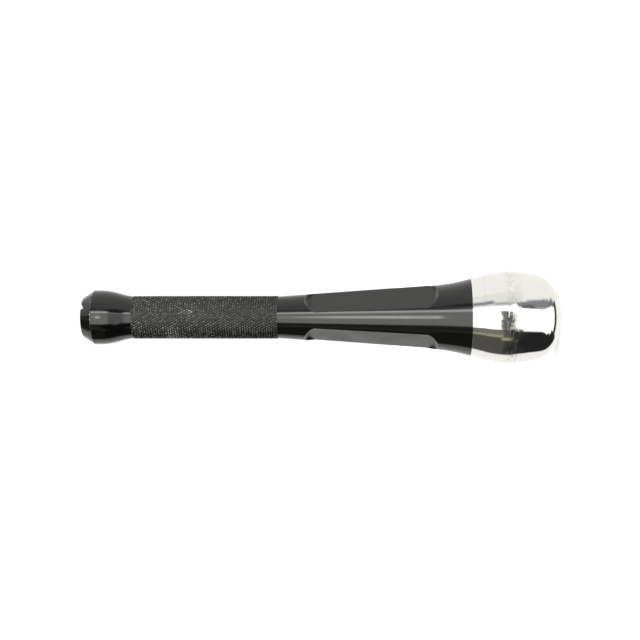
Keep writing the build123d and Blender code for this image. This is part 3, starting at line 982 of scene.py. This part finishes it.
# The studio as seen from the mallet, painted in this order over a white table. A ROUND patch lies between two
# turns round the mallet's axis from the camera's direction, and two elevations. A TILT patch lies between two
# angles sideways and two tilts, from level ahead down to the ground and on behind. Degrees, softness, colour.
# Dark room comes first, then pale panels over it, then the soft box before the mallet with its strips.
TABLE_WHITE = (1.16, 1.15, 1.12)
ROUND, TILT = "round", "tilt"
STUDIO = (
    (ROUND, (-108, 56), (-8, 90), 6, (0.10, 0.096, 0.088)),
    (ROUND, (-104, 20), (-38, -6), 7, (0.026, 0.026, 0.027)),
    (ROUND, (-104, -33), (-38, 1), 5, (0.035, 0.035, 0.036)),
    (TILT, (-74, -18), (-129, -26), 6, (0.022, 0.022, 0.023)),
    (TILT, (-20, 20), (-116, -26), 6, (0.026, 0.026, 0.027)),
    (TILT, (20, 41), (-62, -26), 8, (0.29, 0.30, 0.33)),
    (TILT, (20, 37), (-78, -52), 8, (0.29, 0.30, 0.33)),
    (TILT, (14, 30), (-102, -66), 8, (0.24, 0.24, 0.26)),
    (ROUND, (26, 64), (-16, 90), 6, (1.02, 1.02, 1.01)),
    (TILT, (27, 37), (-30, -12), 4, (0.27, 0.28, 0.30)),
    (TILT, (20, 29), (-32, -11), 4, (0.14, 0.14, 0.15)),
    (ROUND, (34, 44), (14, 65), 6, (0.33, 0.34, 0.37)),
    (ROUND, (31, 38), (-2, 14), 6, (0.50, 0.51, 0.55)),
    (ROUND, (22, 36), (-11, -2), 5, (0.36, 0.37, 0.40)),
    (ROUND, (-45, -33), (3, 60), 5, (0.20, 0.20, 0.19)),
    (ROUND, (-52, -45), (4, 28), 4, (0.40, 0.40, 0.26)),
    (ROUND, (-60, -52), (-4, 5), 4, (0.40, 0.40, 0.28)),
    (TILT, (-29, 16), (-36, -6), 7, (1.80, 1.79, 1.76)),
    (TILT, (-34, 18), (-76, -20), 5, (1.80, 1.79, 1.76)),
    (TILT, (-29, 18), (-90, -60), 5, (1.80, 1.79, 1.76)),
    (TILT, (-20, 15), (-101, -80), 4, (1.80, 1.79, 1.76)),
    (ROUND, (-30, 26), (-9, 75), 6, (3.10, 3.08, 3.00)),
    (ROUND, (17, 21), (-36, -8), 4, (4.00, 3.98, 3.90)),
    (ROUND, (18, 25), (-9, 75), 4, (8.00, 7.98, 7.85)),
    (ROUND, (-5, 5), (4, 11), 4, (9.5, 9.5, 9.3)),
)


class Sky:
    """The world's node tree, with short ways to add to it."""

    def __init__(self, world):
        self.tree = world.node_tree
        self.tree.nodes.clear()
        self.ray = self.add("ShaderNodeTexCoord").outputs["Generated"]

    def add(self, kind, **settings):
        node = self.tree.nodes.new(kind)
        for key, value in settings.items():
            setattr(node, key, value)
        return node

    def put(self, target, value):
        if hasattr(value, "is_output"):
            self.tree.links.new(value, target)
        else:
            target.default_value = value

    def math(self, operation, *values):
        node = self.add("ShaderNodeMath", operation=operation)
        for socket, value in zip(node.inputs, values):
            self.put(socket, value)
        return node.outputs[0]

    def along(self, axis):
        node = self.add("ShaderNodeVectorMath", operation="DOT_PRODUCT")
        self.put(node.inputs[0], self.ray)
        node.inputs[1].default_value = axis
        return node.outputs["Value"]

    def within(self, value, first, last, soft):
        """1 between first and last degrees, falling smoothly to 0 over soft degrees."""
        middle, half = radians(first + last) / 2, radians(last - first) / 2
        away = self.math("ABSOLUTE", self.math("SUBTRACT", value, middle))
        node = self.add("ShaderNodeMapRange", interpolation_type="SMOOTHSTEP")
        edge = radians(soft) / 2
        for socket, number in zip(node.inputs[:5], (away, half + edge, half - edge, 0.0, 1.0)):
            self.put(socket, number)
        return node.outputs[0]

    def patch(self, below, mask, colour):
        node = self.add("ShaderNodeMix", data_type="RGBA")
        self.put(node.inputs["Factor"], mask)
        self.put(node.inputs[6], below)
        node.inputs[7].default_value = (*colour, 1)
        return node.outputs[2]

    def background(self, colour, strength):
        node = self.add("ShaderNodeBackground")
        self.put(node.inputs["Color"], colour)
        node.inputs["Strength"].default_value = strength
        return node.outputs[0]


def studio_world():
    world = bpy.data.worlds.new("studio")
    bpy.context.scene.world = world
    world.use_nodes = True
    sky = Sky(world)
    level_back = Vector((AXIS_BACK.x, AXIS_BACK.y, 0)).normalized()
    level_up = Vector((0, 0, -1)).cross(level_back)
    if level_up.dot(AXIS_UP) < 0:
        level_up = -level_up
    turn = sky.math("ARCTAN2", sky.along(level_up), sky.along(level_back))
    elevation = sky.math("ARCSINE", sky.along((0, 0, 1)))
    sideways = sky.math("ARCSINE", sky.along(level_up))
    tilt = sky.math("ARCTAN2", sky.along((0, 0, 1)), sky.along(level_back))
    measures = {ROUND: (turn, elevation), TILT: (sideways, tilt)}
    light = (*TABLE_WHITE, 1)
    for kind, across, upwards, soft, colour in STUDIO:
        first, second = measures[kind]
        mask = sky.math("MULTIPLY", sky.within(first, *across, soft), sky.within(second, *upwards, soft))
        light = sky.patch(light, mask, colour)
    mix = sky.add("ShaderNodeMixShader")
    sky.put(mix.inputs[0], sky.add("ShaderNodeLightPath").outputs["Is Camera Ray"])
    sky.put(mix.inputs[1], sky.background(light, 1.0))
    sky.put(mix.inputs[2], sky.background((1, 1, 1, 1), BACKDROP))
    sky.put(sky.add("ShaderNodeOutputWorld").inputs[0], mix.outputs[0])


def floor():
    """White light table that the mallet stands on. It glows a little, so its shadow is faint."""
    mesh = bpy.data.meshes.new("floor")
    side = 6.0
    corners = [(-side, -side, 0), (side, -side, 0), (side, side, 0), (-side, side, 0)]
    mesh.from_pydata(corners, [], [(0, 1, 2, 3)])
    table = bpy.data.objects.new("floor", mesh)
    bpy.context.scene.collection.objects.link(table)
    paint = Paint("floor_white", (0.9, 0.9, 0.9), 0.9)
    paint.shader.inputs["Emission Color"].default_value = (1, 1, 1, 1)
    paint.shader.inputs["Emission Strength"].default_value = 0.40
    paint.shader.inputs["Specular IOR Level"].default_value = 0.0
    mesh.materials.append(paint.material)
    table.visible_glossy = False


def black_card():
    """A soft-edged dark card before the head. Only reflections show it, across the widest band."""
    away, height, lowered = 0.34, 0.030, 0.06
    half_width, half_height = 0.21, 0.075
    ahead = Vector((AXIS_BACK.x, AXIS_BACK.y, 0)).normalized()
    side = Vector((0, 0, -1)).cross(ahead)
    side = -side if side.dot(AXIS_UP) < 0 else side
    middle = ahead * away - side * lowered + Vector((0, 0, height))
    card = Shell()
    rows = []
    for y in (-1, -0.4, 0.4, 1):
        row_middle = middle + Vector((0, 0, half_height)) * y
        spots = [(row_middle + side * half_width * x) / MM for x in (-1, -0.5, 0.5, 1)]
        rows.append([card.add(tuple(p), wear=float(abs(y) < 1 and 0 < k < 3)) for k, p in enumerate(spots)])
    for lower, upper in zip(rows, rows[1:]):
        card.bridge(lower, upper, closed=False)
    paint = Paint("card_black", (0.03, 0.03, 0.034), 0.9)
    ragged = paint.ramp(paint.noise(60, detail=5), 0.3, 0.7, -0.14, 0.12)
    cover = paint.math("ADD", paint.attribute("wear"), ragged)
    paint.link("Alpha", paint.ramp(cover, 0.0, 0.9, 0.0, 0.98))
    piece = card.build("black_card", [paint.material])
    piece.visible_camera = piece.visible_shadow = piece.visible_diffuse = False


def camera():
    data = bpy.data.cameras.new("camera")
    data.lens = LENS
    data.sensor_width = 36.0
    data.clip_start, data.clip_end = 0.01, 50.0
    view = bpy.data.objects.new("camera", data)
    bpy.context.scene.collection.objects.link(view)
    view.matrix_world = Matrix.Translation(TARGET + AXIS_BACK * DISTANCE) @ Matrix(
        (
            (AXIS_RIGHT.x, AXIS_UP.x, AXIS_BACK.x, 0),
            (AXIS_RIGHT.y, AXIS_UP.y, AXIS_BACK.y, 0),
            (AXIS_RIGHT.z, AXIS_UP.z, AXIS_BACK.z, 0),
            (0, 0, 0, 1),
        )
    )
    bpy.context.scene.camera = view


# ---------------------------------------------------------------- assembly

blacks = [black_turned(), black_milled(), black_knurled()]
steel = polished_steel()
rubber = seal_rubber()
PIECES = (
    (head_shell, "mallet", [steel], "polished_steel"),
    (head_collar, "mallet", [steel], "polished_steel"),
    (handle, "mallet", blacks, "black_anodised"),
    (butt_cap, "cap", blacks[:1], "black_anodised"),
    (cap_o_ring, "cap_seal", [rubber], "seal_rubber"),
)
for make, body, materials, slot in PIECES:
    piece = make().build(make.__name__ + "_skin", materials)
    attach(piece, body)
    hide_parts(make.__name__)

INNER = {
    "steel_shot": shot_steel(),
    "front_pad": urethane(),
    "rear_pad": urethane(),
    "chamber_o_ring": rubber,
    "collar_bolt": plain_metal("black_oxide_steel", (0.05, 0.05, 0.055), 0.35),
    "lock_washer": plain_metal("zinc_steel", (0.42, 0.43, 0.45), 0.3),
    "thread_insert": plain_metal("insert_steel", (0.42, 0.43, 0.45), 0.35),
    "dowel_pins": plain_metal("pin_steel", (0.50, 0.50, 0.51), 0.2),
}
for name, material in INNER.items():
    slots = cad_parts[name].material_slots
    for slot in slots:
        slot.material = material

studio_world()
floor()
black_card()
camera()
bpy.context.scene.view_settings.view_transform = "Standard"
